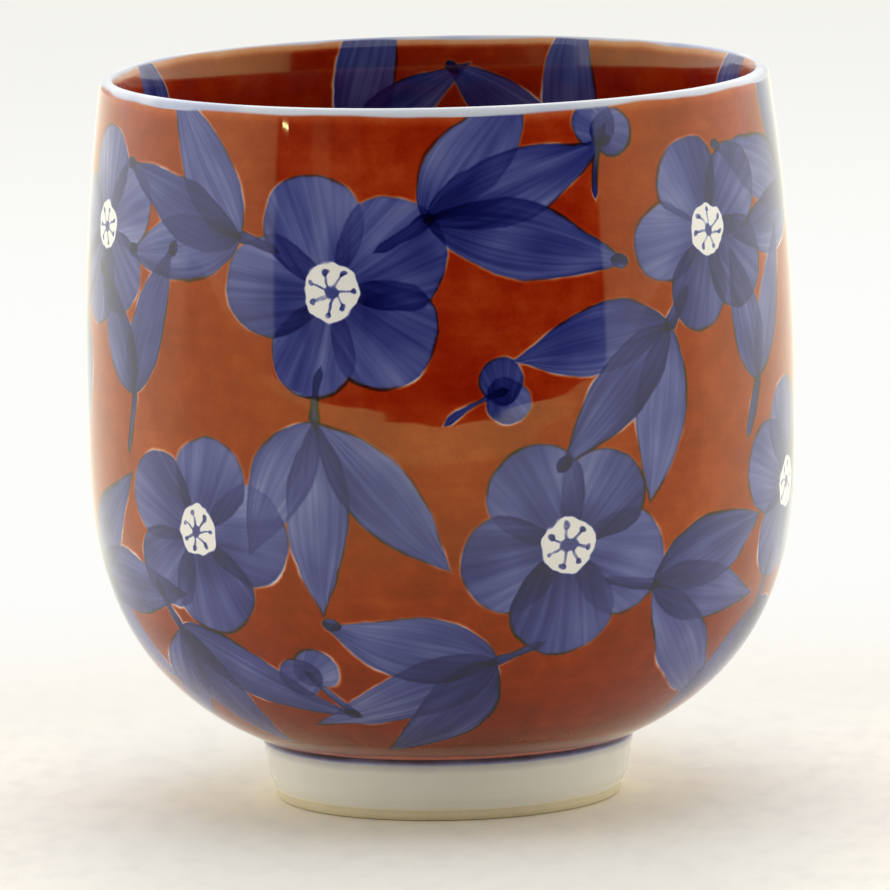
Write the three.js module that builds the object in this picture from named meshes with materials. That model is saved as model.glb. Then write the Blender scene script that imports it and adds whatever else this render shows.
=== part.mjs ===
// Yunomi teacup: a tall footed porcelain cup, coated inside and out, in millimetres with +Z up.
// The origin is the middle of the face that the foot stands on.
import * as THREE from 'three';

// Bowl
const HEIGHT = 82.3;
const BELLY_RADIUS = 40;
const BELLY_LEVEL = 47.7;
const MOUTH_INSET = 2.3;
const LIP_THICKNESS = 2.3;
const LIP_ROLL = 5;
const WALL_THICKNESS = 3;
const FLOOR_THICKNESS = 3.8;
// How square the curve below the belly is: 2 is an ellipse, more is fuller
const OUTSIDE_FULLNESS = 3.36;
const INSIDE_FULLNESS = 4;

// Foot
const FOOT_HEIGHT = 7.1;
const FOOT_RADIUS = 21.1;
const FOOT_END_RADIUS = 20;
const FOOT_WALL = 4;
const RECESS_DEPTH = 5.6;
const BARE_EDGE = 1.2;
const EDGE_ROUND = 0.8;

// Coats of glaze and enamel
const COAT = 0.35;
const FOOT_LINE_WIDTH = 1.2;
const WELL_RADIUS = 20;
const WELL_LINE_WIDTH = 1.1;

// Facets
const TURN_STEPS = 48;
const HAUNCH_STEPS = 8;
const SHOULDER_STEPS = 4;
const LIP_STEPS = 3;
const WELL_STEPS = 3;
const EDGE_STEPS = 3;

const { lerp } = THREE.MathUtils;

function steps(count) {
  return Array.from({ length: count + 1 }, (_, i) => i / count);
}

// The curve of a bowl below its belly, where angle 0 is the axis and a quarter turn is the belly
function bowlCurve({ radius, depth, fullness }, from, to, count) {
  return steps(count).map((share) => {
    const angle = lerp(from, to, share);
    const drop = depth * Math.max(Math.cos(angle), 0) ** (2 / fullness);
    return new THREE.Vector2(radius * Math.sin(angle), BELLY_LEVEL - drop);
  });
}

// The wall above the belly, which leans in on a parabola up to the lip
function shoulderCurve({ radius }, end, count) {
  return steps(count).map((share) => new THREE.Vector2(
    lerp(radius, end.x, share ** 2),
    lerp(BELLY_LEVEL, end.y, share),
  ));
}

function along(start, end, share) {
  return start.clone().lerp(end, share);
}

// The outline moved by depth into the material, which lies on the right of its direction
function inset(outline, depth) {
  return outline.map((point, i) => {
    const before = outline[i - 1] ?? point;
    const after = outline[i + 1] ?? point;
    const normals = [[before, point], [point, after]]
      .filter(([a, b]) => a !== b)
      .map(([a, b]) => b.clone().sub(a).normalize())
      .map((way) => new THREE.Vector2(way.y, -way.x));
    const first = normals[0];
    const last = normals[normals.length - 1];
    const move = first.clone().add(last).multiplyScalar(depth / (1 + first.dot(last)));
    return point.x === 0 ? new THREE.Vector2(0, point.y + move.y) : point.clone().add(move);
  });
}

// Lip: round outside with a longer roll inside, and both lean in from the belly as the wall does
const lipRadius = LIP_THICKNESS / 2;
const lipMiddle = BELLY_RADIUS - MOUTH_INSET - lipRadius;
const lipLean = Math.atan(2 * MOUTH_INSET / (HEIGHT - lipRadius - BELLY_LEVEL));
const rollLean = Math.atan(Math.tan(lipLean) * LIP_ROLL / lipRadius);
// Where the roll is as far below the crest as the round outside reaches
const rollEnd = Math.PI - Math.asin(1 - lipRadius / LIP_ROLL);
// A stretch of an ellipse of the given height under the crest of the lip
const lipArc = (from, to, height) => steps(LIP_STEPS).map((share) => {
  const angle = lerp(from, to, share);
  return new THREE.Vector2(lipMiddle + lipRadius * Math.cos(angle), HEIGHT - height * (1 - Math.sin(angle)));
});
const roll = lipArc(Math.PI + rollLean, rollEnd, LIP_ROLL);
const lip = [
  ...lipArc(rollEnd, Math.PI / 2, LIP_ROLL),
  ...lipArc(Math.PI / 2, lipLean, lipRadius).slice(1),
];

// Outside wall, from the lip down to the crease where the bowl meets the foot
const crease = new THREE.Vector2(FOOT_RADIUS, FOOT_HEIGHT);
const creaseAngle = Math.asin(FOOT_RADIUS / BELLY_RADIUS);
const outside = {
  radius: BELLY_RADIUS,
  depth: (BELLY_LEVEL - FOOT_HEIGHT) / Math.cos(creaseAngle) ** (2 / OUTSIDE_FULLNESS),
  fullness: OUTSIDE_FULLNESS,
};
const lineAngle = Math.asin((FOOT_RADIUS + FOOT_LINE_WIDTH / 2) / BELLY_RADIUS);
const outerWall = [
  ...shoulderCurve(outside, lip[lip.length - 1], SHOULDER_STEPS).reverse(),
  ...bowlCurve(outside, Math.PI / 2, lineAngle, HAUNCH_STEPS).slice(1),
];

// Foot wall, which tapers from the crease down to the bare edge
const footEnd = new THREE.Vector2(FOOT_END_RADIUS, BARE_EDGE);
const footLineEnd = along(crease, footEnd, FOOT_LINE_WIDTH / 2 / crease.distanceTo(footEnd));
const footLean = Math.atan2(FOOT_RADIUS - FOOT_END_RADIUS, FOOT_HEIGHT - BARE_EDGE);
// The seam between bowl and foot ring is level with the clay over the recess, square behind this point
const seamLevel = RECESS_DEPTH + COAT * (1 - Math.sin(footLean));
const footSeam = along(crease, footEnd, (FOOT_HEIGHT - seamLevel) / (FOOT_HEIGHT - BARE_EDGE));

// Inside wall, down to the line around the well, and the well's floor
const inside = {
  radius: BELLY_RADIUS - WALL_THICKNESS,
  depth: BELLY_LEVEL - RECESS_DEPTH - FLOOR_THICKNESS,
  fullness: INSIDE_FULLNESS,
};
const wellAngle = Math.asin(WELL_RADIUS / inside.radius);
const wellLineAngle = Math.asin((WELL_RADIUS + WELL_LINE_WIDTH) / inside.radius);
const innerWall = [
  ...bowlCurve(inside, wellLineAngle, Math.PI / 2, HAUNCH_STEPS),
  ...shoulderCurve(inside, roll[0], SHOULDER_STEPS).slice(1),
  ...roll.slice(1),
];

// The coated surface from the middle of the well, over the lip and down to the bare edge
const coats = [
  ['well_glaze', bowlCurve(inside, 0, wellAngle, WELL_STEPS)],
  ['well_line', bowlCurve(inside, wellAngle, wellLineAngle, 1)],
  ['inner_enamel', innerWall],
  ['lip_glaze', lip],
  ['outer_enamel', outerWall],
  ['foot_line', [outerWall[outerWall.length - 1], crease, footLineEnd]],
  ['foot_glaze', [footLineEnd, footSeam, footEnd]],
];
const surface = coats.flatMap(([, stretch], i) => (i === 0 ? stretch : stretch.slice(1)));
const clay = inset(surface, COAT);
const claySeam = clay[clay.length - 2];
const clayFootEnd = clay[clay.length - 1];

// The recess under the cup, from the bare edge up to the middle of the underside
const recessRadius = FOOT_END_RADIUS - FOOT_WALL;
const recess = [
  new THREE.Vector2(recessRadius, BARE_EDGE),
  new THREE.Vector2(recessRadius, RECESS_DEPTH),
  new THREE.Vector2(0, RECESS_DEPTH),
];
const recessClay = inset(recess, COAT);

// A rounded edge that runs from the side of the foot to the face that it stands on, or back
function roundedEdge(from, corner, to) {
  return new THREE.QuadraticBezierCurve(from, corner, to).getPoints(EDGE_STEPS);
}

function footOutline() {
  const outerCorner = new THREE.Vector2(clayFootEnd.x, 0);
  const innerCorner = new THREE.Vector2(recessClay[0].x, 0);
  const outerLand = new THREE.Vector2(outerCorner.x - EDGE_ROUND, 0);
  const innerLand = new THREE.Vector2(innerCorner.x + EDGE_ROUND, 0);
  return [
    claySeam,
    ...roundedEdge(clayFootEnd, outerCorner, outerLand),
    ...roundedEdge(innerLand, innerCorner, recessClay[0]),
    recessClay[1],
    claySeam,
  ];
}

function bowlOutline() {
  const base = new THREE.Vector2(0, claySeam.y);
  return [...clay.slice(0, -1), recessClay[1], base];
}

// A coat between a stretch of the surface and the clay under it, as a loop or from axis to axis
function coatOutline(stretch, under) {
  const back = under.toReversed();
  if (stretch[stretch.length - 1].x === 0) return [...back, ...stretch];
  const loop = [...stretch, ...back];
  return stretch[0].x === 0 ? loop : [...loop, stretch[0]];
}

// A solid turned about the axis, with the material on the right of its outline
function turned(name, outline, color, roughness) {
  const geometry = new THREE.LatheGeometry(outline.toReversed(), TURN_STEPS).rotateX(Math.PI / 2);
  const mesh = new THREE.Mesh(geometry, new THREE.MeshStandardMaterial({ color, roughness, metalness: 0 }));
  mesh.name = name;
  return mesh;
}

const finishes = {
  well_glaze: [0xe2e2da, 0.1],
  well_line: [0x2b3162, 0.12],
  inner_enamel: [0x8e2f17, 0.14],
  lip_glaze: [0xd3dade, 0.1],
  outer_enamel: [0x8e2f17, 0.14],
  foot_line: [0x463a4e, 0.12],
  foot_glaze: [0xd6d0bf, 0.12],
};

const cup = new THREE.Group();
cup.name = 'yunomi_teacup';
cup.add(turned('porcelain_body', bowlOutline(), 0xe4dfd2, 0.6));
cup.add(turned('foot_ring', footOutline(), 0xb5a283, 0.7));
let start = 0;
for (const [name, stretch] of coats) {
  const end = start + stretch.length;
  cup.add(turned(name, coatOutline(stretch, clay.slice(start, end)), ...finishes[name]));
  start = end - 1;
}
cup.add(turned('underside_glaze', coatOutline(recess, recessClay), 0xd6d0bf, 0.12));

export default cup;
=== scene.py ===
"""The looks of a yunomi teacup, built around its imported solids.

The cup stands on the origin with +Z up, and the viewer of the photograph is on the -Y side.
Lengths are in metres, and in millimetres where a name or a comment says so.
"""
import math
import random

import bpy
import numpy as np
from mathutils import Matrix, Vector


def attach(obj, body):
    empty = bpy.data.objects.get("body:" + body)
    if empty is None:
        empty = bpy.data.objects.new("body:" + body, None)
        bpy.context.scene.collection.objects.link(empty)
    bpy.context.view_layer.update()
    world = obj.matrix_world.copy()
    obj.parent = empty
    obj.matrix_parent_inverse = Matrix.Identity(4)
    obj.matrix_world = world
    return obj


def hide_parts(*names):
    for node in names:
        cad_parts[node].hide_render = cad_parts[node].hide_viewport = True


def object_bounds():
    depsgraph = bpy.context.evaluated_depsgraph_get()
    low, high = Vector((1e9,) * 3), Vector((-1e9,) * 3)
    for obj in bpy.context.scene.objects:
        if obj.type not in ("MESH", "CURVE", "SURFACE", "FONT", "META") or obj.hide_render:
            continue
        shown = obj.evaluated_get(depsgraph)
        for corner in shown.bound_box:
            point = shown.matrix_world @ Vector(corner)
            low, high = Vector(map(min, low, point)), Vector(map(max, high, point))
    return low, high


MM = 0.001

# Camera, fitted to the cup's outline, rim and foot
CAMERA_AIM = (0.000329, 0.0, 0.039742)
CAMERA_DISTANCE = 1.329
CAMERA_RISE = math.radians(8.182)
CAMERA_ROLL = math.radians(-1.248)
CAMERA_LENS = 475.7

# Turned pieces: a bend of the outline above this angle stays a corner
CORNER = math.radians(40)
SAME_POINT = 0.00001
# The coats from the middle of the well, over the lip and down to the bare edge
SURFACE_ORDER = (
    "well_glaze", "well_line", "inner_enamel", "lip_glaze", "outer_enamel", "foot_line", "foot_glaze",
)
# The longest step from row to row
ROW_STEP = {
    "well_glaze": 0.0012,
    "well_line": 0.0004,
    "inner_enamel": 0.0006,
    "lip_glaze": 0.00014,
    "outer_enamel": 0.0005,
    "foot_line": 0.0002,
    "foot_glaze": 0.0002,
    "foot_ring": 0.0003,
    "underside_glaze": 0.001,
}
PAINTED = ("inner_enamel", "lip_glaze", "outer_enamel")
PAINTED_COLUMNS = 480
PLAIN_COLUMNS = 192
# The glaze of the foot thins out over this length, by this share of its thickness
FOOT_GLAZE_FADE = 0.0016
FOOT_GLAZE_LOSS = 0.9
# Shares of the UV map: how much hidden rows keep of their height, and the gap between strips
HIDDEN_SHARE = 0.04
STRIP_MARGIN = 0.005

# Brushwork, in mm: strokes that cross each other lie in different layers
LAYERS = 6
# The distance where no stroke is near, and how far outside its edge a stroke is stored
FAR = -50.0
NEAR_MARGIN = 0.9
# How far from its centre a blossom may have its reserved middle
BLOOM_REACH = 6.0
SEED = 11

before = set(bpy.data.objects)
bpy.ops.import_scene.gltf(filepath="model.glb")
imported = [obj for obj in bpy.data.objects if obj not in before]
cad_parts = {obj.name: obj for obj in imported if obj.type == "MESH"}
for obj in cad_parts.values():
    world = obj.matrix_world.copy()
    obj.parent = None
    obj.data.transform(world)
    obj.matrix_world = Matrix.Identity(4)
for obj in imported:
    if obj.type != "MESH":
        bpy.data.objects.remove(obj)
cad_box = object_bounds()


# Outlines of the solids

def section(node):
    """The outline of a turned CAD node in the half-plane through +X.

    It is a row of (r, z) points, with the material on the right.
    """
    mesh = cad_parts[node].data
    flat = {}
    for vertex in mesh.vertices:
        if abs(vertex.co.y) < SAME_POINT and vertex.co.x > -SAME_POINT:
            flat[vertex.index] = (round(max(vertex.co.x, 0.0), 6), round(vertex.co.z, 6))
    links = {}
    for edge in mesh.edges:
        a, b = (flat.get(index) for index in edge.vertices)
        if a and b and a != b:
            links.setdefault(a, set()).add(b)
            links.setdefault(b, set()).add(a)
    ends = sorted(point for point in links if len(links[point]) == 1)
    outline = [ends[0] if ends else min(links)]
    while True:
        ahead = links[outline[-1]].difference(outline)
        if not ahead:
            break
        outline.append(min(ahead))
    points = np.array(outline)
    r, z = points.T
    turn = np.sum(r * np.roll(z, -1) - np.roll(r, -1) * z)
    return points if turn < 0 else points[::-1]


def split_coat(node, clay):
    """A coat's outline as its exposed run and the run that lies on the clay."""
    points = section(node)
    gaps = np.linalg.norm(points[:, None] - clay[None], axis=2).min(axis=1)
    exposed = gaps > SAME_POINT
    first = next(i for i in range(len(points)) if exposed[i] and not exposed[i - 1])
    order = np.roll(np.arange(len(points)), -first)
    count = int(exposed.sum())
    return points[order[:count]], points[order[count:]]


def unit(vectors):
    return vectors / np.linalg.norm(vectors, axis=-1, keepdims=True)


def directions(points):
    """The direction in which the outline reaches and leaves each point, the same but at corners."""
    chords = unit(np.diff(points, axis=0))
    reach = np.vstack([chords[:1], chords])
    leave = np.vstack([chords, chords[-1:]])
    for i in range(1, len(points) - 1):
        if np.dot(chords[i - 1], chords[i]) > math.cos(CORNER):
            reach[i] = leave[i] = unit(points[i + 1] - points[i - 1])
    for i in (0, -1):
        if points[i][0] == 0:
            reach[i] = leave[i] = (math.copysign(1, chords[i][0]), 0)
    return reach, leave


def refine(points, reach, leave, step):
    """A smooth curve through the points, and the numbers of its points that are corners."""
    curve = [points[:1]]
    corners = []
    count = 1
    for i in range(len(points) - 1):
        a, b = points[i], points[i + 1]
        length = np.linalg.norm(b - a)
        pieces = max(1, math.ceil(length / step))
        t = np.linspace(0, 1, pieces + 1)[1:, None]
        start, end = leave[i] * length, reach[i + 1] * length
        curve.append(
            a * (2 * t**3 - 3 * t**2 + 1) + start * (t**3 - 2 * t**2 + t)
            + b * (3 * t**2 - 2 * t**3) + end * (t**3 - t**2)
        )
        count += pieces
        if np.dot(reach[i + 1], leave[i + 1]) < math.cos(CORNER):
            corners.append(count - 1)
    return np.vstack(curve), corners


# Turned meshes

def add_object(name, data):
    """A new object in the scene."""
    item = bpy.data.objects.new(name, data)
    bpy.context.scene.collection.objects.link(item)
    return item


def turned_rings(outline, columns):
    """The vertices of a turned outline, and for each of its rows the ring of their numbers."""
    turns = np.arange(columns) * 2 * math.pi / columns
    around = np.column_stack([np.sin(turns), -np.cos(turns), np.zeros(columns)])
    vertices = []
    rings = []
    for r, z in outline:
        start = len(vertices)
        if r < SAME_POINT:
            vertices.append((0.0, 0.0, z))
            rings.append([start] * columns)
        else:
            vertices.extend(tuple(point) for point in around * r + (0.0, 0.0, z))
            rings.append(list(range(start, start + columns)))
    return vertices, rings


def faces_between(rings, columns, closed):
    """The faces between rings, and for each of their corners its row, its column and its half turn."""
    ahead = rings[1:] + rings[:1] if closed else rings[1:]
    faces = []
    spots = []
    for row, (near, far) in enumerate(zip(rings, ahead)):
        for j in range(columns):
            k = (j + 1) % columns
            half = int(2 * j >= columns)
            spot_of = {near[j]: (row, j, half)}
            spot_of.setdefault(far[j], (row + 1, j, half))
            spot_of.setdefault(far[k], (row + 1, j + 1, half))
            spot_of.setdefault(near[k], (row, j + 1, half))
            faces.append(tuple(spot_of))
            spots.extend(spot_of.values())
    return faces, spots


def unroll(mesh, outline, spots, columns, shown):
    """A UV map with two half turns above each other. Rows that lie on the clay take little room."""
    first, last = shown
    rows = np.arange(len(outline))
    lengths = np.linalg.norm(np.roll(outline, -1, axis=0) - outline, axis=1)
    lengths[(rows < first) | (rows >= last)] *= HIDDEN_SHARE
    heights = np.concatenate([[0], np.cumsum(lengths)]) / lengths.sum()
    row, column, half = np.array(spots).T
    u = column * 2 / columns - half
    v = (half + STRIP_MARGIN + heights[row] * (1 - 2 * STRIP_MARGIN)) / 2
    uv = np.column_stack([u, v]).astype(np.float32)
    mesh.uv_layers.new(name="OFBake").uv.foreach_set("vector", uv.ravel())


def sharpen(mesh, rings, corners):
    """Marks the edges that run along the corner rows as sharp."""
    ring_of = np.zeros(len(mesh.vertices), int)
    for i, ring in enumerate(rings):
        ring_of[ring] = i
    ends = np.zeros(len(mesh.edges) * 2, int)
    mesh.edges.foreach_get("vertices", ends)
    a, b = ring_of[ends.reshape(-1, 2)].T
    sharp = (a == b) & np.isin(a, corners)
    mesh.attributes.new("sharp_edge", "BOOLEAN", "EDGE").data.foreach_set("value", sharp)


def turned(name, outline, corners, columns, shown):
    """A mesh turned about the axis from an outline that is closed, or runs from axis to axis.

    Corners are the rows with a sharp edge, and shown are the first and last row that aren't hidden.
    """
    closed = outline[0][0] >= SAME_POINT
    vertices, rings = turned_rings(outline, columns)
    faces, spots = faces_between(rings, columns, closed)
    mesh = bpy.data.meshes.new(name)
    mesh.from_pydata(vertices, [], faces)
    mesh.shade_smooth()
    unroll(mesh, outline, spots, columns, shown)
    sharpen(mesh, rings, corners)
    return add_object(name, mesh)


def place(piece, node, material):
    """Puts a piece in the place of a CAD node."""
    piece.data.materials.append(material)
    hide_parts(node)
    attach(piece, "root")


# Brushwork on an unrolled wall

def grown(mask):
    """The mask with a margin of one cell, round the turn but not past the ends of the wall."""
    taller = mask.copy()
    taller[1:] |= mask[:-1]
    taller[:-1] |= mask[1:]
    return taller | np.roll(taller, 1, axis=1) | np.roll(taller, -1, axis=1)


class Canvas:
    """The exposed rows of a turned wall, unrolled.

    Turns are angles from the front, and levels are mm up along the wall.
    """

    def __init__(self, run, columns):
        steps = np.linalg.norm(np.diff(run, axis=0), axis=1)
        travelled = np.concatenate([[0], np.cumsum(steps)]) / MM
        upward = run[-1][1] > run[0][1]
        self.levels = travelled if upward else travelled[-1] - travelled
        self.radii = run[:, 0] / MM
        self.turns = np.arange(columns) * 2 * math.pi / columns
        self.shape = (len(run), columns)
        self.washes = np.full((LAYERS, *self.shape, 3), FAR)
        self.loads = np.zeros((LAYERS, *self.shape, 3))
        self.taken = np.zeros((LAYERS, *self.shape), bool)
        self.bloom = np.zeros((*self.shape, 3))
        self.bloom_distance = np.full(self.shape, np.inf)

    def climb(self):
        """The level of every point."""
        return np.repeat(self.levels[:, None], self.shape[1], axis=1)

    def radius_at(self, level):
        order = np.argsort(self.levels)
        return np.interp(level, self.levels[order], self.radii[order])

    def around(self, turn, level):
        """Distances in mm to the right of and above a point of the wall."""
        swing = (self.turns - turn + math.pi) % (2 * math.pi) - math.pi
        right = swing[None, :] * self.radii[:, None]
        up = np.broadcast_to((self.levels - level)[:, None], self.shape)
        return right, up

    def lay(self, left, right, comb, along, tone):
        """Adds a stroke to the first layer that is free there.

        Left and right are the distances in mm to its edges, comb counts its bristles from side to side,
        along runs with the brush, and tone is the strength of the wash.
        """
        near = np.minimum(left, right) > -NEAR_MARGIN
        room = grown(near)
        layer = next(k for k in range(LAYERS) if not (self.taken[k] & room).any())
        wash = np.stack([left, right, comb], axis=-1)
        load = np.stack([tone, along, np.zeros(self.shape)], axis=-1)
        self.washes[layer][near] = wash[near]
        self.loads[layer][near] = load[near]
        self.taken[layer] |= near


# Where a leaf is widest, as a share of its length
LEAF_WIDEST = (0.34, 0.48)
# How far a wash may differ from side to side of a leaf and of a dab
LEAF_UNEVEN = 0.3
DAB_UNEVEN = 0.35
# Each stroke takes its streaks from another place of the noise, up to this far away
COMB_SHIFT = 90
ALONG_SHIFT = 400
# How steeply the edges close beyond the ends of a stroke
END_SLOPE = 0.6
# How much darker a stroke starts, and over which share of its length
START_PRESS = 0.45
START_SHARE = 0.15
PETALS = 5
LEAF_FAN = math.radians(38)
# The share of leaves with a dark press at the tip, and its strength
DARK_TIPS = 0.35
TIP_TONE = 1.3
STEM_TONE = 0.95


def strayed(middle, reach, chance):
    """A number near the middle, at most reach away."""
    return middle + chance.uniform(-reach, reach)


def leaf_width(share, widest):
    """Half-width along a leaf, as a share of its half-width at its widest place."""
    inside = np.clip(share, 0, 1)
    return (inside / widest) ** (2 * widest) * ((1 - inside) / (1 - widest)) ** (2 - 2 * widest)


def stem_width(share, widest):
    """Half-width along a stem, which only gets thinner."""
    return 1 - 0.35 * np.clip(share, 0, 1)


def brush(canvas, turn, level, way, length, half_width, bend, tone, chance, width=leaf_width):
    """A tapered stroke from a point of the wall: way is its angle, bend its side step at the end."""
    x, y = canvas.around(turn, level)
    along = x * math.cos(way) + y * math.sin(way)
    share = along / length
    side_step = bend * length * np.clip(share, -0.2, 1.2) ** 2
    across = y * math.cos(way) - x * math.sin(way) - side_step
    beyond = END_SLOPE * np.maximum(np.maximum(share - 1, -share), 0) * length
    left = half_width * width(share, chance.uniform(*LEAF_WIDEST)) - beyond
    right = half_width * width(share, chance.uniform(*LEAF_WIDEST)) - beyond
    spread = np.maximum((left + right) / 2, 0.3 * half_width)
    comb = across / spread * half_width + chance.uniform(0, COMB_SHIFT)
    loaded_side = 1 + strayed(0, LEAF_UNEVEN, chance) * np.clip(across / half_width, -1, 1)
    pressed = 1 + START_PRESS * np.exp(-np.clip(share, 0, 1) / START_SHARE)
    along = along + chance.uniform(0, ALONG_SHIFT)
    canvas.lay(left - across, right + across, comb, along, tone * loaded_side * pressed)


def dab(canvas, turn, level, way, reach, radius, tone, chance, broad=1.0):
    """A round press of the brush, narrower at its near end, with its middle at reach from a point."""
    x, y = canvas.around(turn, level)
    out = x * math.cos(way) + y * math.sin(way)
    across = (y * math.cos(way) - x * math.sin(way)) / broad
    along = out - reach
    near_end = np.clip(-along / radius, 0, 1.2)
    edge = radius - np.hypot(along, across * (1 + 0.3 * near_end))
    fan = np.arctan2(across, np.maximum(out + radius, 0.5))
    comb = fan * 2 * radius + chance.uniform(0, COMB_SHIFT)
    loaded_side = 1 + strayed(0, DAB_UNEVEN, chance) * np.clip(across / radius, -1, 1)
    pressed = 0.9 + 0.3 * near_end
    along = along + chance.uniform(0, ALONG_SHIFT)
    canvas.lay(edge, edge, comb, along, tone * loaded_side * pressed)


def blossom(canvas, turn, level, tilt, size, chance):
    """Petals around a reserved middle."""
    for k in range(PETALS):
        dab(
            canvas, turn, level,
            way=strayed(tilt + 2 * math.pi * k / PETALS, 0.12, chance),
            reach=size * chance.uniform(5.8, 6.7),
            radius=size * chance.uniform(4.8, 5.6),
            tone=chance.uniform(0.65, 0.95),
            chance=chance,
            broad=chance.uniform(0.92, 1.1),
        )
    x, y = canvas.around(turn, level)
    distance = np.hypot(x, y) / size
    right = (x * math.cos(tilt) + y * math.sin(tilt)) / size
    up = (y * math.cos(tilt) - x * math.sin(tilt)) / size
    nearest = distance < canvas.bloom_distance
    canvas.bloom[nearest] = np.stack([right, up, distance < BLOOM_REACH], axis=-1)[nearest]
    canvas.bloom_distance[nearest] = distance[nearest]


def bud(canvas, turn, level, way, radius, chance):
    """Two presses of the brush that half cover each other, on a short stem."""
    for side in (-1, 1):
        across = way + side * math.radians(80)
        dab(canvas, turn, level, across, 0.4 * radius, radius, chance.uniform(0.65, 0.95), chance)
    brush(
        canvas, turn, level,
        way=way + math.pi,
        length=2.4 * radius,
        half_width=0.6,
        bend=strayed(0, 0.3, chance),
        tone=STEM_TONE,
        chance=chance,
        width=stem_width,
    )


def dark_tip(canvas, turn, level, way, length, bend, chance):
    """A small press at the tip of a leaf that starts at a point of the wall."""
    right = length * (math.cos(way) - bend * math.sin(way))
    tip = level + length * (math.sin(way) + bend * math.cos(way))
    tip_turn = turn + right / canvas.radius_at(tip)
    radius = chance.uniform(0.8, 1.2)
    dab(canvas, tip_turn, tip, way, -radius, radius, TIP_TONE, chance, broad=0.75)


def spray(canvas, turn, level, way, length, count, chance):
    """A fan of leaves from one point, with a short stem behind it, and some of the tips dark."""
    for i in range(count):
        fan = (i - (count - 1) / 2) * LEAF_FAN
        leaf_way = way + fan + math.radians(strayed(0, 6, chance))
        leaf_length = length * chance.uniform(0.85, 1.12)
        bend = strayed(0, 0.14, chance)
        brush(
            canvas, turn, level, leaf_way, leaf_length,
            half_width=length * chance.uniform(0.165, 0.2),
            bend=bend,
            tone=chance.uniform(0.6, 0.9),
            chance=chance,
        )
        if chance.random() < DARK_TIPS:
            dark_tip(canvas, turn, level, leaf_way, leaf_length, bend, chance)
    brush(
        canvas, turn, level,
        way=way + math.pi + math.radians(strayed(0, 15, chance)),
        length=chance.uniform(4, 6),
        half_width=0.8,
        bend=strayed(0, 0.2, chance),
        tone=STEM_TONE,
        chance=chance,
        width=stem_width,
    )


# Places on the walls, in mm: right is measured along the belly, up along the wall
BELLY_RADIUS = 40.0
OUTER_REPEATS = 3
OUTER_BLOSSOMS = (
    # right, up, tilt in degrees, size
    (-12, 62, 90, 1.15),
    (36, 66, 40, 1.0),
    (13, 33, 62, 1.12),
    (-31, 36, 10, 1.03),
)
OUTER_SPRAYS = (
    # right, up, way in degrees, length, leaves
    (-1, 70, 18, 22, 3),
    (-24, 68, 158, 21, 3),
    (-14, 48, 262, 20, 3),
    (27, 57, 232, 20, 3),
    (26, 28, -15, 22, 3),
    (7, 20, 212, 22, 3),
    (-36, 23, 283, 20, 3),
    (-41, 49, 88, 17, 2),
)
OUTER_BUDS = (
    # right, up, way in degrees, radius
    (20, 79, 75, 2.8),
    (6, 51, 20, 2.8),
    (-17, 18, 120, 2.9),
)
INNER_REPEATS = 4
INNER_SPRAYS = (
    # right, up, way in degrees, length, leaves
    (-20, 60, 40, 21, 3),
    (14, 63, 150, 20, 3),
    (8, 50, 265, 21, 3),
    (-16, 38, 200, 19, 3),
    (20, 30, 20, 19, 3),
    (-4, 18, 120, 18, 3),
)


def lay_sprays(canvas, start, sprays, shift, swing, chance):
    """Sprays from a turn on, each up to shift in mm aside and up to swing in degrees turned."""
    for right, up, way, length, count in sprays:
        turn = start + strayed(right, shift, chance) / BELLY_RADIUS
        spray(canvas, turn, up, math.radians(strayed(way, swing, chance)), length, count, chance)


def paint_outer(canvas):
    """Blossoms, sprays and buds on the outside wall."""
    chance = random.Random(SEED)
    for repeat in range(OUTER_REPEATS):
        start = 2 * math.pi * repeat / OUTER_REPEATS
        for right, up, tilt, size in OUTER_BLOSSOMS:
            turn = start + strayed(right, 1.5, chance) / BELLY_RADIUS
            level = strayed(up, 1.5, chance)
            blossom(canvas, turn, level, math.radians(strayed(tilt, 20, chance)), size, chance)
        lay_sprays(canvas, start, OUTER_SPRAYS, shift=1, swing=8, chance=chance)
        for right, up, way, radius in OUTER_BUDS:
            turn = start + strayed(right, 1, chance) / BELLY_RADIUS
            bud(canvas, turn, up, math.radians(strayed(way, 25, chance)), radius, chance)


def paint_inner(canvas):
    """Sprays on the inside wall."""
    chance = random.Random(SEED + 1)
    for repeat in range(INNER_REPEATS):
        start = 2 * math.pi * repeat / INNER_REPEATS
        lay_sprays(canvas, start, INNER_SPRAYS, shift=3, swing=12, chance=chance)


def keep_brushwork(mesh, parts):
    """Stores strokes on the first rows of a wall's mesh. The parts are canvases with their rows."""

    def store(name, kind, field, read, empty):
        width = 3 if kind == "FLOAT_VECTOR" else 1
        painted = np.vstack([read(canvas)[rows].reshape(-1, width) for canvas, rows in parts])
        data = np.full((len(mesh.vertices), width), empty, np.float32)
        data[:len(painted)] = painted
        mesh.attributes.new(name, kind, "POINT").data.foreach_set(field, data.ravel())

    for k in range(LAYERS):
        store(f"wash{k}", "FLOAT_VECTOR", "vector", lambda canvas: canvas.washes[k], FAR)
        store(f"load{k}", "FLOAT_VECTOR", "vector", lambda canvas: canvas.loads[k], 0.0)
    store("bloom", "FLOAT_VECTOR", "vector", lambda canvas: canvas.bloom, 0.0)
    store("climb", "FLOAT", "value", Canvas.climb, 0.0)


# Shader nodes

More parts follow.
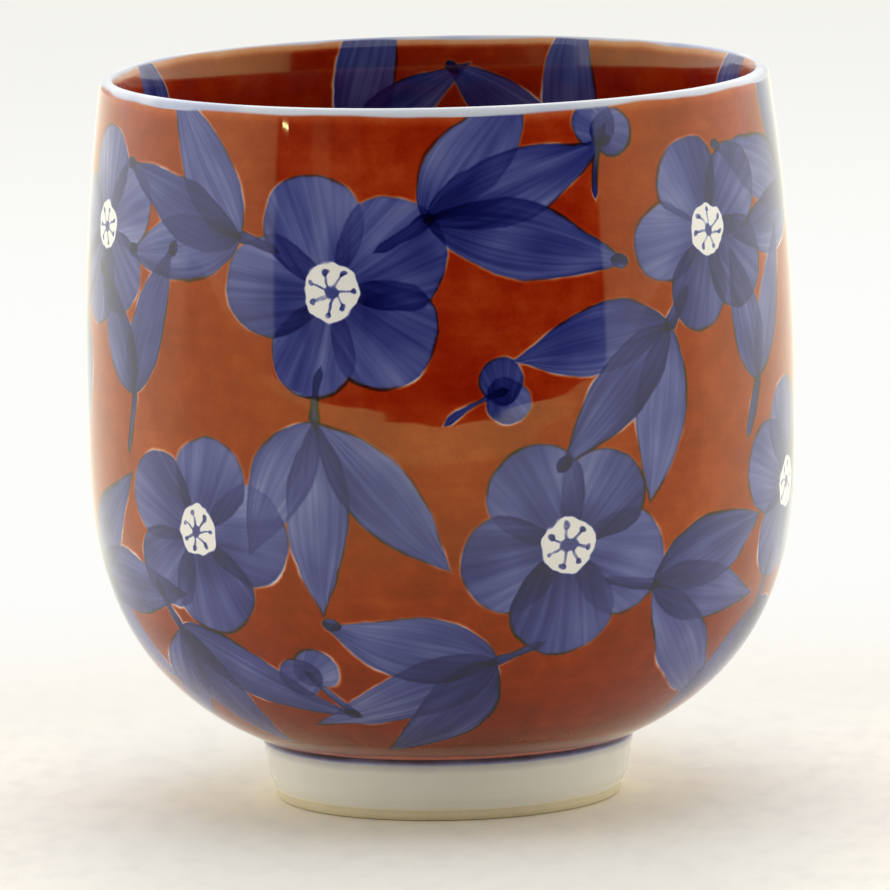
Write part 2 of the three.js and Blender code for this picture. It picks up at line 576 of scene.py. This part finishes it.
class Value:
    """The output of a shader node. Arithmetic on it adds nodes."""

    def __init__(self, tree, socket):
        self.tree = tree
        self.socket = socket

    def math(self, operation, *others):
        socket = add_node(self.tree, "ShaderNodeMath", [self, *others], operation=operation)
        return Value(self.tree, socket)

    def __add__(self, other):
        return self.math("ADD", other)

    def __mul__(self, other):
        return self.math("MULTIPLY", other)

    def __sub__(self, other):
        return self.math("SUBTRACT", other)

    def __neg__(self):
        return self * -1

    def __abs__(self):
        return self.math("ABSOLUTE")

    __radd__ = __add__
    __rmul__ = __mul__

    def __rsub__(self, other):
        return -self + other

    def lowest(self, other):
        return self.math("MINIMUM", other)

    def highest(self, other):
        return self.math("MAXIMUM", other)

    def fades_in(self, start, end):
        """0 up to start and 1 from end on, with a smooth step between. End may lie below start."""
        node = self.tree.nodes.new("ShaderNodeMapRange")
        node.interpolation_type = "SMOOTHSTEP"
        for key, value in (("From Min", start), ("From Max", end), ("Value", self)):
            feed(self.tree, node.inputs[key], value)
        return Value(self.tree, node.outputs["Result"])

    def parts(self):
        """The x, y and z of a vector."""
        node = self.tree.nodes.new("ShaderNodeSeparateXYZ")
        feed(self.tree, node.inputs[0], self)
        return [Value(self.tree, socket) for socket in node.outputs]


def feed(tree, socket, value):
    """Links a value to a socket, or sets the socket to a number or a colour."""
    if isinstance(value, Value):
        tree.links.new(value.socket, socket)
    else:
        socket.default_value = value


def add_node(tree, kind, inputs, **settings):
    """Adds a node, feeds its inputs in order, and returns its first output."""
    node = tree.nodes.new(kind)
    for key, value in settings.items():
        setattr(node, key, value)
    for socket, value in zip(node.inputs, inputs):
        feed(tree, socket, value)
    return node.outputs[0]


def light_path(tree, kind):
    """1 for light of one kind, such as what the camera sees, and otherwise 0."""
    return Value(tree, tree.nodes.new("ShaderNodeLightPath").outputs[kind])


class Paint:
    """A new node material. Its place is in mm."""

    def __init__(self, name):
        self.material = bpy.data.materials.new(name)
        self.material.use_nodes = True
        self.tree = self.material.node_tree
        self.shader = self.tree.nodes["Principled BSDF"]
        place_node = self.tree.nodes.new("ShaderNodeTexCoord")
        in_metres = Value(self.tree, place_node.outputs["Object"])
        in_mm = add_node(self.tree, "ShaderNodeVectorMath", [in_metres], operation="SCALE")
        in_mm.node.inputs["Scale"].default_value = 1 / MM
        self.place = Value(self.tree, in_mm)

    def attribute(self, name, output="Fac"):
        node = self.tree.nodes.new("ShaderNodeAttribute")
        node.attribute_name = name
        return Value(self.tree, node.outputs[output])

    def vector(self, *parts):
        return Value(self.tree, add_node(self.tree, "ShaderNodeCombineXYZ", parts))

    def noise(self, scale, detail=2.0, at=None):
        """Noise from about 0 to 1, with scale in cycles per mm."""
        node = self.tree.nodes.new("ShaderNodeTexNoise")
        inputs = {"Vector": at or self.place, "Scale": scale, "Detail": detail}
        for key, value in inputs.items():
            feed(self.tree, node.inputs[key], value)
        return Value(self.tree, node.outputs[0])

    def blend(self, share, a, b):
        """A colour between a and b."""
        node = self.tree.nodes.new("ShaderNodeMix")
        node.data_type = "RGBA"
        for key, value in (("Factor_Float", share), ("A_Color", a), ("B_Color", b)):
            socket = next(s for s in node.inputs if s.identifier == key)
            feed(self.tree, socket, (*value, 1.0) if isinstance(value, tuple) else value)
        return Value(self.tree, next(s for s in node.outputs if s.identifier == "Result_Color"))

    def colour(self, red, green, blue):
        return Value(self.tree, add_node(self.tree, "ShaderNodeCombineColor", [red, green, blue]))

    def bump(self, height, distance, strength):
        node = self.tree.nodes.new("ShaderNodeBump")
        node.inputs["Strength"].default_value = strength
        node.inputs["Distance"].default_value = distance
        feed(self.tree, node.inputs["Height"], height)
        self.set(Normal=Value(self.tree, node.outputs[0]))

    def set(self, **sockets):
        """Feeds sockets of the shader, named with _ in place of spaces."""
        for name, value in sockets.items():
            socket = self.shader.inputs[name.replace("_", " ")]
            feed(self.tree, socket, (*value, 1.0) if isinstance(value, tuple) else value)


# Materials

PORCELAIN = (0.83, 0.81, 0.75)
# What one full wash of each paint lets through
COBALT_PASS = (0.045, 0.056, 0.26)
IRON_RED_PASS = (0.37, 0.027, 0.004)
# The strength of the strokes' washes, and what the weaker of two washes adds where they cross
COBALT_LOAD = 1.2
CROSSING = 0.35
# The reserved middle of a blossom and the ring of its anthers in mm, and how many threads it has
MIDDLE_RADIUS = 2.9
ANTHER_RING = 2.05
THREADS = 7
# The level in mm where the paint ends outside, and the radius of the crest of the lip
LIP_LEVEL = 81.86
LIP_MIDDLE = 36.55
LIP_PALE = (0.57, 0.60, 0.66)
LIP_BLUE = (0.36, 0.40, 0.58)
# The tint of the gloss
GLOSS_ON_COBALT = (1.0, 0.97, 0.92)
GLOSS_ON_RED = (1.0, 0.9, 0.36)
GLOSS_ON_LIP = (1.0, 1.0, 1.0)
CLEAR = (0.87, 0.86, 0.78)
CLEAR_CLOUD = (0.79, 0.775, 0.69)
CLEAR_OVER_COBALT_AND_SHADE = (0.34, 0.34, 0.37)
CLEAR_WIPED = (0.79, 0.71, 0.50)
BARE = (0.83, 0.74, 0.51)
BARE_CLOUD = (0.63, 0.54, 0.35)
ENAMEL_IOR = 1.55
GLAZE_IOR = 1.5
ENAMEL_ROUGHNESS = 0.03
GLAZE_ROUGHNESS = 0.07
BARE_ROUGHNESS = 0.8


def washed(paint, cobalt, red):
    """The colour of porcelain under washes of cobalt and iron red of the given strength."""
    channels = []
    for white, through_cobalt, through_red in zip(PORCELAIN, COBALT_PASS, IRON_RED_PASS):
        loss = cobalt * math.log(through_cobalt) + red * math.log(through_red) + math.log(white)
        channels.append(loss.math("EXPONENT"))
    return paint.colour(*channels)


def bloom_middle(paint, wobble):
    """The reserved disc in a blossom, the cobalt threads in it, and the distance in from its edge."""
    x, y, near = paint.attribute("bloom", "Vector").parts()
    x = x + paint.noise(0.45, 1.0) * 1.2 - 0.6
    y = y + paint.noise(0.57, 1.0) * 1.2 - 0.6
    far_away = (1 - near) * 20
    distance = (x * x + y * y).math("SQRT") + wobble * 0.6 + far_away
    inside = MIDDLE_RADIUS - distance
    reserve = inside.fades_in(-0.05, 0.2)
    sector = 2 * math.pi / THREADS
    lean = y.math("ARCTAN2", x).math("WRAP", sector / 2, -sector / 2)
    side = abs(distance * lean.math("SINE"))
    out = distance * lean.math("COSINE") - ANTHER_RING
    load = paint.noise(0.8, 1.0) * 1.8 - 0.3
    thread = side.fades_in(0.2, 0.07) * distance.fades_in(0.5, 0.7) * distance.fades_in(2.0, 1.8)
    anther = (out * out + side * side).math("SQRT").fades_in(0.4, 0.2)
    eye = distance.fades_in(0.8, 0.5)
    return reserve, (thread * 0.7 + anther * 1.1) * load + eye * 0.8, inside


def wash_layer(paint, k, wobble):
    """The strength of the washes in one layer, and the distance in mm in from their edges."""
    left, right, comb = paint.attribute(f"wash{k}", "Vector").parts()
    tone, along, _ = paint.attribute(f"load{k}", "Vector").parts()
    edge = left.lowest(right) + wobble
    bristles = paint.noise(1.0, 3.0, at=paint.vector(comb * 1.5, along * 0.05, k * 7.3))
    water = paint.noise(1.0, 1.0, at=paint.vector(comb * 0.25, along * 0.12, k * 5.1 + 40.0))
    streaks = bristles * 0.9 + water * 0.9 + 0.1
    pool = 1 + 0.1 * edge.fades_in(0.7, 0.1)
    return edge.fades_in(-0.12, 0.22) * tone * streaks * pool, edge


def brushwork(paint):
    """The strength of the cobalt, and the distance in mm in from the nearest edge of a stroke."""
    wobble = paint.noise(0.16, 1.0) * 1.2 + paint.noise(0.7, 2.0) * 0.3 - 0.75
    cobalt, inside = wash_layer(paint, 0, wobble)
    for k in range(1, LAYERS):
        wash, edge = wash_layer(paint, k, wobble)
        cobalt = cobalt.highest(wash) + CROSSING * cobalt.lowest(wash)
        inside = inside.highest(edge)
    reserve, threads, in_disc = bloom_middle(paint, wobble)
    return cobalt * (1 - reserve) + threads, inside.highest(in_disc)


def red_cover(paint, inside, climb):
    """Where the red lies: around the strokes with an uneven gap, and less at the line of the foot."""
    gap = (paint.noise(0.14, 2.0) - 0.52) * 1.3
    ground = (-inside - gap).fades_in(-0.28, 0.3)
    foot_edge = climb - paint.noise(0.2, 2.0) * 1.5
    return ground * (0.4 + 0.6 * foot_edge.fades_in(-0.1, 0.7))


def iron_red(paint):
    """The uneven strength of the iron red ground, with clouds, blotches and faint turning lines."""
    x, y, z = paint.place.parts()
    clouds = paint.noise(0.10, 3.0)
    blotches = paint.noise(0.36, 3.0)
    grain = paint.noise(2.2, 2.0)
    lines = paint.noise(1.0, 2.0, at=paint.vector(x * 0.02, y * 0.02, z * 1.1))
    return 0.22 + clouds * 0.72 + blotches * 0.56 + grain * 0.2 + lines * 0.2


def above_paint(paint, z, radius, inner_side):
    """The height in mm above the wavy line where the paint ends on the lip, higher inside."""
    slope = (LIP_MIDDLE - radius) * 0.2
    waves = (paint.noise(0.06, 2.0) - 0.5) * 1.6
    return z - (LIP_LEVEL + 0.17 * inner_side + slope + waves)


def red_strength_with_painted_light(above, inner_side, climb):
    """The strength of the red: thinner just under the lip, paler under the lip inside, partly as thinner
    red and partly as a painted reflection, and darker towards the foot as painted shade.
    """
    thin_outside = above.fades_in(-1.5, 0.0)
    # Partly thinner red, partly a painted reflection: inside, the red is paler just under the lip
    paler_inside_painted_reflection = above.fades_in(-1.3, -0.5) * inner_side
    # Painted shade: the red darkens towards the foot, where the lower wall faces the floor and gets less
    # light
    darker_below_painted_shade = climb.fades_in(44.0, 2.0)
    return 1 - (0.35 * thin_outside + 0.38 * paler_inside_painted_reflection) + 0.43 * darker_below_painted_shade


def lip_colour(paint):
    """Pale glaze with bluer patches."""
    patches = paint.noise(0.07, 2.0).fades_in(0.45, 0.62) * 0.8 + paint.noise(0.7, 2.0) * 0.2
    return paint.blend(patches, LIP_PALE, LIP_BLUE)


def painted_enamel(name, has_lip):
    """Iron red around cobalt brushwork under a clear glaze, and on the lip the bare pale glaze."""
    paint = Paint(name)
    x, y, z = paint.place.parts()
    radius = (x * x + y * y).math("SQRT")
    climb = paint.attribute("climb")
    inner_side = (LIP_MIDDLE - radius).fades_in(0.0, 0.3)
    above = above_paint(paint, z, radius, inner_side)
    cobalt, inside = brushwork(paint)
    ground = red_cover(paint, inside, climb)
    # The red's strength carries painted shade towards the foot and a painted reflection under the lip
    # inside
    red = ground * iron_red(paint) * red_strength_with_painted_light(above, inner_side, climb)
    colour = washed(paint, cobalt * COBALT_LOAD, red)
    gloss = paint.blend(ground, GLOSS_ON_COBALT, GLOSS_ON_RED)
    near_foot = climb.fades_in(16.0, 6.0)
    upper_inside = inner_side * z.fades_in(40.0, 60.0)
    roughness = ENAMEL_ROUGHNESS + 0.05 * near_foot + 0.06 * upper_inside
    if has_lip:
        pale = above.fades_in(-0.22, 0.1)
        colour = paint.blend(pale, colour, lip_colour(paint))
        gloss = paint.blend(pale, gloss, GLOSS_ON_LIP)
        roughness = roughness + pale * 0.2
    paint.set(Base_Color=colour, Roughness=roughness, IOR=ENAMEL_IOR, Specular_Tint=gloss)
    swell = paint.noise(0.13, 1.0) + paint.noise(0.6, 1.0) * 0.03 + ground * 0.04
    paint.bump(swell * climb.fades_in(6.0, 26.0), distance=0.05 * MM, strength=0.5)
    return paint.material


def clear_glaze():
    """Clear glaze on white porcelain, faintly cloudy, grey under the foot's line with strayed cobalt and
    painted shade of the crease, and wiped off towards the bare edge.
    """
    paint = Paint("clear_glaze")
    _, _, z = paint.place.parts()
    colour = paint.blend(paint.noise(0.15, 3.0), CLEAR, CLEAR_CLOUD)
    # Just under the foot's line the glaze goes grey: partly cobalt that strayed below the line, partly
    # painted shade of the crease
    strayed_cobalt_and_crease_shade = (z + paint.noise(0.2, 2.0) * 0.6).fades_in(5.7, 6.9) * z.fades_in(7.5, 7.2)
    colour = paint.blend(strayed_cobalt_and_crease_shade * 0.6, colour, CLEAR_OVER_COBALT_AND_SHADE)
    wiped = (z + paint.noise(0.3, 2.0) * 0.8).fades_in(2.2, 1.4)
    colour = paint.blend(wiped, colour, CLEAR_WIPED)
    paint.set(Base_Color=colour, Roughness=wiped * 0.5 + GLAZE_ROUGHNESS, IOR=GLAZE_IOR)
    paint.bump(paint.noise(0.25, 1.0), distance=0.06 * MM, strength=0.5)
    return paint.material


def cobalt_line():
    """A brushed cobalt line of uneven strength, with red that strays into its upper edge."""
    paint = Paint("cobalt_line")
    _, _, z = paint.place.parts()
    strength = 0.2 + paint.noise(0.1, 2.0) * 0.8 + paint.noise(0.9, 2.0) * 0.3
    strength = strength * (0.35 + 0.65 * z.fades_in(6.5, 7.0))
    warmth = paint.noise(0.2, 2.0) * 0.7 * z.fades_in(6.6, 7.2) * z.fades_in(8.8, 8.2)
    colour = washed(paint, strength, warmth)
    paint.set(Base_Color=colour, Roughness=GLAZE_ROUGHNESS, IOR=GLAZE_IOR)
    paint.bump(paint.noise(0.3, 1.0), distance=0.05 * MM, strength=0.4)
    return paint.material


def bare_porcelain():
    """Unglazed porcelain, warm and finely gritty."""
    paint = Paint("bare_porcelain")
    clouds = paint.noise(0.3, 3.0)
    grit = paint.noise(4.0, 3.0)
    colour = paint.blend(clouds * 0.6 + grit * 0.5, BARE, BARE_CLOUD)
    paint.set(Base_Color=colour, Roughness=BARE_ROUGHNESS)
    paint.bump(grit, distance=0.03 * MM, strength=0.5)
    return paint.material


# The cup

def smooth_surface(runs):
    """The exposed runs of the coats as smooth curves that share their tangents where two coats meet."""
    stretches = [runs[node][0] for node in SURFACE_ORDER]
    surface = np.vstack(stretches[:1] + [stretch[1:] for stretch in stretches[1:]])
    reach, leave = directions(surface)
    curves = {}
    start = 0
    for node, stretch in zip(SURFACE_ORDER, stretches):
        end = start + len(stretch)
        curves[node] = refine(surface[start:end], reach[start:end], leave[start:end], ROW_STEP[node])
        start = end - 1
    underside = runs["underside_glaze"][0]
    curves["underside_glaze"] = refine(underside, *directions(underside), ROW_STEP["underside_glaze"])
    return curves


def inside_box(curve):
    """The curve held inside the box of the solids."""
    low, high = cad_box
    return np.column_stack([np.minimum(curve[:, 0], high[0]), np.clip(curve[:, 1], low[2], high[2])])


def thinned_out(curve, clay_point):
    """The curve of a coat that gets thin towards its end, where it nearly meets the clay."""
    left = np.linalg.norm(curve - curve[-1], axis=1)
    share = np.clip(1 - left / FOOT_GLAZE_FADE, 0, 1)
    drawn_in = FOOT_GLAZE_LOSS * share**2 * (3 - 2 * share)
    return curve + drawn_in[:, None] * (clay_point - curve[-1])


def coat_outline(curve, corners, hidden):
    """The whole outline of a coat, its rows with a sharp edge, and its first and last shown row.

    Hidden is the run on the clay. Where it starts on the axis it comes first, and the rim is soft.
    """
    last = len(curve) - 1
    if hidden[0][0] > 0:
        rims = [0, last, last + 1, last + len(hidden)]
        return np.vstack([curve, hidden]), corners + rims, (0, last)
    first = len(hidden)
    sharp = [corner + first for corner in corners]
    return np.vstack([hidden, curve]), sharp, (first, first + last)


def paint_walls(curves):
    """The brushwork of both walls, each up to the crest of the lip, as parts for each painted piece."""
    inner, lip, outer = (curves[node][0] for node in PAINTED)
    crest = int(np.argmax(lip[:, 1]))
    inner_canvas = Canvas(np.vstack([inner, lip[1:crest + 1]]), PAINTED_COLUMNS)
    outer_canvas = Canvas(np.vstack([lip[crest:], outer[1:]]), PAINTED_COLUMNS)
    paint_inner(inner_canvas)
    paint_outer(outer_canvas)
    down = len(lip) - crest
    return {
        "inner_enamel": [(inner_canvas, slice(0, len(inner)))],
        "lip_glaze": [(inner_canvas, slice(len(inner) - 1, None)), (outer_canvas, slice(1, down))],
        "outer_enamel": [(outer_canvas, slice(down - 1, None))],
    }


def coat_finishes():
    """A slot name and the material of each coat."""
    enamel = painted_enamel("painted_enamel", has_lip=False)
    pale_lip = painted_enamel("pale_lip", has_lip=True)
    glaze = clear_glaze()
    line = cobalt_line()
    return {
        "well_glaze": ("clear_glaze", glaze),
        "well_line": ("cobalt_line", line),
        "inner_enamel": ("painted_enamel", enamel),
        "lip_glaze": ("lip_glaze", pale_lip),
        "outer_enamel": ("painted_enamel", enamel),
        "foot_line": ("cobalt_line", line),
        "foot_glaze": ("clear_glaze", glaze),
        "underside_glaze": ("clear_glaze", glaze),
    }


def make_coats():
    """A turned piece for each coat of glaze and enamel."""
    finishes = coat_finishes()
    clay = np.vstack([section("porcelain_body"), section("foot_ring")])
    runs = {node: split_coat(node, clay) for node in finishes}
    curves = smooth_surface(runs)
    painted = paint_walls(curves)
    for node, (slot, material) in finishes.items():
        hidden = runs[node][1]
        curve, corners = curves[node]
        curve = inside_box(curve)
        if node == "foot_glaze":
            curve = thinned_out(curve, hidden[0])
        outline, sharp, shown = coat_outline(curve, corners, hidden)
        columns = PAINTED_COLUMNS if node in PAINTED else PLAIN_COLUMNS
        piece = turned(f"{node}_turned", outline, sharp, columns, shown)
        if node in PAINTED:
            keep_brushwork(piece.data, painted[node])
        place(piece, node, material)


def make_clay():
    """A turned piece for the foot ring, and bare porcelain on the body, which keeps its CAD shape."""
    bare = bare_porcelain()
    ring = section("foot_ring")
    closed = np.vstack([ring, ring[:1]])
    curve, corners = refine(closed, *directions(closed), ROW_STEP["foot_ring"])
    outline = inside_box(curve[:-1])
    piece = turned("foot_ring_turned", outline, corners + [0], PLAIN_COLUMNS, shown=(0, len(outline)))
    place(piece, "foot_ring", bare)
    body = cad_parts["porcelain_body"].data
    body.materials.clear()
    body.materials.append(bare)


# Studio

FLOOR_FRONT = -0.36
FLOOR_BACK = 4.0
FLOOR_SIDE = 3.0
# The paper by the foot, and its tones in rings around the cup: painted light and shade, warmer and
# brighter towards the foot, which lightens and warms the cup's shadow
PAPER = (0.92, 0.88, 0.745)
PAPER_GRAIN = (0.90, 0.86, 0.725)
PAPER_SHADE_RINGS = (
    # start and end in mm, tone
    (20, 50, (0.83, 0.825, 0.78)),
    (45, 85, (0.785, 0.77, 0.735)),
    (70, 160, (0.765, 0.772, 0.795)),
)
# Lighter paper beside the cup, as painted light
PAPER_LIT_ASIDE = (0.95, 0.92, 0.87)
PAPER_FIBRES = (0.72, 0.71, 0.69)
PAPER_FAR = (0.697, 0.698, 0.698)
# The paper's colour seen only in reflections: painted reflection
PAPER_BRIGHTER_IN_REFLECTIONS = (0.98, 0.97, 0.85)
PAPER_ROUGHNESS = 0.9
PAPER_SPECULAR = 0.1
# The glow of the paper at both sides and at its front edge
GLOW_COLOUR = (1.0, 0.98, 0.8)
SIDE_GLOW = 0.32
FRONT_GLOW = 0.4

# Strengths of the tent's light, with its angles in degrees
TENT_COLOUR = (1.0, 0.99, 0.945, 1.0)
TENT_TOP = 1.0
TENT_FRONT = 0.9
TENT_SIDES = 1.55
TENT_BACK = 1.62
TENT_GLOW = 0.55
TENT_PANELS = 0.1
BACKDROP_LOSS = 0.4
BACKGROUND_SEEN = 0.93
OPENING = 0.02
OPENING_PANEL = 0.12
OPENING_STRIP = 0.25
OPENING_HALF_WIDTH = 55
OPENING_TOP = 27
OPENING_EDGE = 1

# Bar lamp
LAMP_SIZE = (0.075, 0.003)
LAMP_POWER = 0.05
LAMP_TURN = math.radians(-51.5)
LAMP_RISE = math.radians(6.9)
LAMP_DISTANCE = 2.0
LAMP_AIM = (0, 0, 0.08)


def paper_tone(paint, x, back, around):
    """The tone of the paper: rings of painted light and shade around the cup, lighter paper beside it as
    painted light, fibres near it, even far behind it. All in mm.
    """
    colour = paint.blend(paint.noise(0.5, 3.0), PAPER, PAPER_GRAIN)
    # Painted light and shade: rings of tone that shape the cup's shadow on the paper
    for start, end, tone in PAPER_SHADE_RINGS:
        colour = paint.blend(around.fades_in(start, end), colour, tone)
    # Painted light: the paper beside the cup is lighter, which lifts its shadow there and throws more
    # light onto the cup's flanks
    lighter_aside_painted_light = abs(x).fades_in(20, 52) * back.fades_in(70, 10)
    colour = paint.blend(lighter_aside_painted_light, colour, PAPER_LIT_ASIDE)
    fibres = paint.noise(1.0, 4.0, at=paint.vector(x * 0.3, back * 0.14, 0.0)).fades_in(0.4, 0.75)
    colour = paint.blend(fibres * back.fades_in(160, 50) * 0.3, colour, PAPER_FIBRES)
    return paint.blend(back.fades_in(350, 900), colour, PAPER_FAR)


def floor_paper():
    """Pale paper that glows a little at both sides outside the picture, and at its front edge, and that
    is painted brighter in reflections away from the cup.
    """
    paint = Paint("floor_paper")
    x, back, _ = paint.place.parts()
    around = (x * x + back * back).math("SQRT")
    # Painted reflection: away from the cup, the paper seen in the glaze's reflections is brighter than
    # the camera sees it
    brighter_in_reflections = light_path(paint.tree, "Is Glossy Ray") * around.fades_in(60, 160)
    colour = paint.blend(brighter_in_reflections, paper_tone(paint, x, back, around), PAPER_BRIGHTER_IN_REFLECTIONS)
    outside_picture = (abs(x) - back * 0.04).fades_in(55, 85) * back.fades_in(-60, 30)
    front_edge = back.fades_in(-290, -298) * x.fades_in(-520, -480) * x.fades_in(300, 250)
    glow = outside_picture * SIDE_GLOW + front_edge * FRONT_GLOW
    paint.set(Base_Color=colour, Roughness=PAPER_ROUGHNESS, Specular_IOR_Level=PAPER_SPECULAR)
    paint.set(Emission_Color=GLOW_COLOUR, Emission_Strength=glow)
    return paint.material


def make_floor():
    """A sheet of paper that ends in front of the picture."""
    mesh = bpy.data.meshes.new("floor")
    corners = [
        (-FLOOR_SIDE, FLOOR_FRONT, 0), (FLOOR_SIDE, FLOOR_FRONT, 0),
        (FLOOR_SIDE, FLOOR_BACK, 0), (-FLOOR_SIDE, FLOOR_BACK, 0),
    ]
    mesh.from_pydata(corners, [], [(0, 1, 2, 3)])
    mesh.materials.append(floor_paper())
    add_object("floor", mesh)


def tent_walls(turn, rise):
    """The light of the tent's top, front, sides and back, with a darker backdrop under a bright band."""
    around = abs(turn)
    beside = around.fades_in(45, 80)
    behind = around.fades_in(100, 155)
    walls = TENT_FRONT + (TENT_SIDES - TENT_FRONT) * beside + (TENT_BACK - TENT_SIDES) * behind
    backdrop = around.fades_in(135, 160) * rise.fades_in(18, 12)
    panels = beside * (1 - behind) * rise.fades_in(45, 20)
    walls = walls * (1 - BACKDROP_LOSS * backdrop) + TENT_PANELS * panels
    low = rise.fades_in(72, 48)
    band = rise.fades_in(6, 18) * rise.fades_in(48, 32)
    return TENT_TOP * (1 - low) + walls * low + TENT_GLOW * behind * band


def tent_opening(turn, rise):
    """Where the opening on the viewer's side is, and the little light that comes through it."""
    side, top, edge = OPENING_HALF_WIDTH, OPENING_TOP, OPENING_EDGE
    opening = abs(turn).fades_in(side + edge, side - edge) * rise.fades_in(top + edge, top - edge)
    strip = turn.fades_in(-43, -41) * turn.fades_in(-35, -37)
    panel = turn.fades_in(-24, -26)
    return opening, OPENING + panel * OPENING_PANEL + strip * OPENING_STRIP


def make_tent():
    """Soft white light from all sides, with a dark opening on the viewer's side."""
    world = bpy.data.worlds.new("tent")
    bpy.context.scene.world = world
    world.use_nodes = True
    tree = world.node_tree
    place_node = tree.nodes.new("ShaderNodeTexCoord")
    x, y, z = Value(tree, place_node.outputs["Generated"]).parts()
    turn = x.math("ARCTAN2", -y).math("DEGREES")
    rise = z.math("ARCSINE").math("DEGREES")
    opening, inside = tent_opening(turn, rise)
    tent = tent_walls(turn, rise) * (1 - opening) + inside * opening
    camera_ray = light_path(tree, "Is Camera Ray")
    background = tree.nodes["Background"]
    background.inputs["Color"].default_value = TENT_COLOUR
    strength = tent * (1 - camera_ray) + camera_ray * BACKGROUND_SEEN
    feed(tree, background.inputs["Strength"], strength)


def make_lamp():
    """A small bar lamp at the left edge of the opening, which makes the bright dot under the lip."""
    light = bpy.data.lights.new("bar_lamp", "AREA")
    light.shape = "RECTANGLE"
    light.size, light.size_y = LAMP_SIZE
    light.energy = LAMP_POWER
    lamp = add_object("bar_lamp", light)
    level = math.cos(LAMP_RISE)
    away = Vector((math.sin(LAMP_TURN) * level, -math.cos(LAMP_TURN) * level, math.sin(LAMP_RISE)))
    lamp.location = away * LAMP_DISTANCE + Vector(LAMP_AIM)
    lamp.rotation_euler = away.to_track_quat("Z", "Y").to_euler()
    lit = bpy.data.collections.new("lit_by_bar_lamp")
    lit.objects.link(bpy.data.objects["outer_enamel_turned"])
    lamp.light_linking.receiver_collection = lit


def make_camera():
    """The camera of the photograph."""
    data = bpy.data.cameras.new("camera")
    data.lens = CAMERA_LENS
    camera = add_object("camera", data)
    away = Vector((0, -math.cos(CAMERA_RISE), math.sin(CAMERA_RISE)))
    stand = Matrix.Translation(Vector(CAMERA_AIM) + away * CAMERA_DISTANCE)
    tilt = Matrix.Rotation(math.pi / 2 - CAMERA_RISE, 4, "X")
    camera.matrix_world = stand @ tilt @ Matrix.Rotation(CAMERA_ROLL, 4, "Z")
    bpy.context.scene.camera = camera


make_coats()
make_clay()
make_floor()
make_tent()
make_lamp()
make_camera()
bpy.context.scene.view_settings.view_transform = "Standard"
